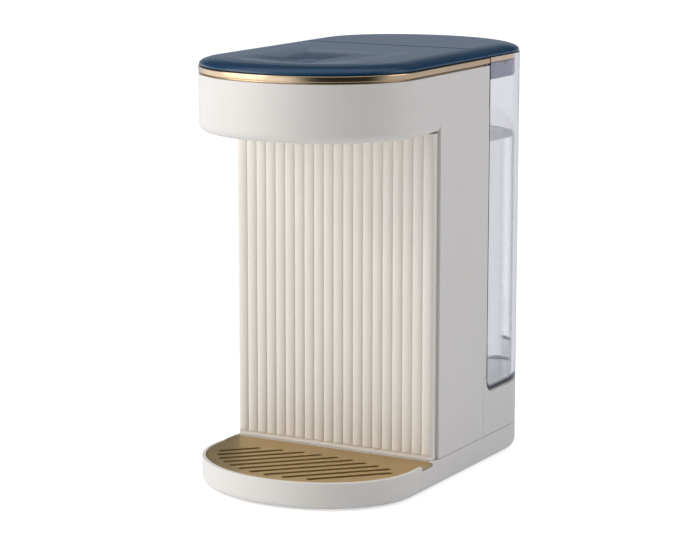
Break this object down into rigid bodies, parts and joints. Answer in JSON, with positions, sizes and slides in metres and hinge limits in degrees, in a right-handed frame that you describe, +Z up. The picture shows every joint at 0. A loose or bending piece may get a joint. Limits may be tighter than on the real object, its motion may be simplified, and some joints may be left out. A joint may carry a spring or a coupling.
{
  "type": "instant water warmer",
  "caption": "Countertop instant water warmer with a dispensing head over a slotted drip tray, a fluted front panel, a touch control and a lift-off clear tank at the back",
  "frame": {"origin": "centre of the bounding box's bottom face, on the surface the feet stand on", "axes": "+Z up, -Y towards the person who uses it (the dispensing side), +X to the right as seen with +Y pointing away"},
  "size_m": [0.132, 0.23, 0.2455],
  "materials": {
    "cream_shell": "satin moulded plastic",
    "fluted_cream": "satin moulded plastic with fluted ribs",
    "gold_trim": "champagne gold plated plastic",
    "gold_grille": "champagne gold plated plastic, slotted",
    "navy_cap": "glossy dark blue plastic",
    "touch_mark": "soft grey mark",
    "clear_tank": "clear moulded plastic",
    "seal_grey": "grey silicone",
    "white_plastic": "fine moulded texture",
    "nozzle_silicone": "milky silicone",
    "dark_plastic": "black moulded plastic",
    "black_rubber": "matt rubber",
    "steel": "plain steel",
    "board_green": "green circuit board"
  },
  "bodies": {
    "body": {"main_shell": "cream_shell", "rear_shell": "cream_shell", "base_shell": "cream_shell", "fluted_panel": "fluted_cream", "trim_band": "gold_trim", "top_panel": "navy_cap", "touch_ring": "touch_mark", "nozzle_plate": "white_plastic", "rear_wall": "white_plastic", "chassis": "white_plastic", "base_deck": "white_plastic", "dock_socket": "white_plastic", "dispense_nozzle": "nozzle_silicone", "inlet_hose": "nozzle_silicone", "heater_hose": "nozzle_silicone", "outlet_hose": "nozzle_silicone", "bottom_cover": "dark_plastic", "cord_gland": "dark_plastic", "pump_head": "dark_plastic", "heater_low_cap": "dark_plastic", "heater_top_cap": "dark_plastic", "low_cutout": "dark_plastic", "high_cutout": "dark_plastic", "transformer": "dark_plastic", "relay": "dark_plastic", "capacitor": "dark_plastic", "control_lead": "dark_plastic", "foot_1": "black_rubber", "foot_2": "black_rubber", "foot_3": "black_rubber", "foot_4": "black_rubber", "pump_mount": "black_rubber", "dock_seal": "black_rubber", "base_screw_1": "steel", "base_screw_2": "steel", "base_screw_3": "steel", "base_screw_4": "steel", "heater_tube": "steel", "heater_bracket": "steel", "pump_motor": "steel", "temperature_sensor": "steel", "control_board": "board_green", "power_board": "board_green"},
    "tank": {"tank": "clear_tank", "valve_body": "white_plastic", "tank_strainer": "white_plastic", "valve_spring": "steel"},
    "lid": {"tank_lid": "navy_cap", "lid_trim": "gold_trim", "lid_seal": "seal_grey"},
    "plunger": {"valve_plunger": "white_plastic", "valve_seal": "black_rubber"},
    "basin": {"drip_basin": "white_plastic"},
    "grille": {"drip_grille": "gold_grille"}
  },
  "joints": [
    {"name": "tank_lift", "type": "slide", "parent": "body", "child": "tank", "axis": [0, 0, 1], "range_m": [0, 0.06]},
    {"name": "lid_lift", "type": "slide", "parent": "tank", "child": "lid", "axis": [0, 0, 1], "range_m": [0, 0.04]},
    {"name": "valve_slide", "type": "slide", "parent": "tank", "child": "plunger", "axis": [0, 0, 1], "range_m": [-0.003, 0], "deforming": ["valve_spring"]},
    {"name": "basin_lift", "type": "slide", "parent": "body", "child": "basin", "axis": [0, 0, 1], "range_m": [0, 0.03]},
    {"name": "grille_lift", "type": "slide", "parent": "basin", "child": "grille", "axis": [0, 0, 1], "range_m": [0, 0.02]}
  ],
  "couplings": [
    {"joint": "valve_slide", "follows": "tank_lift", "ratio": -0.05}
  ]
}
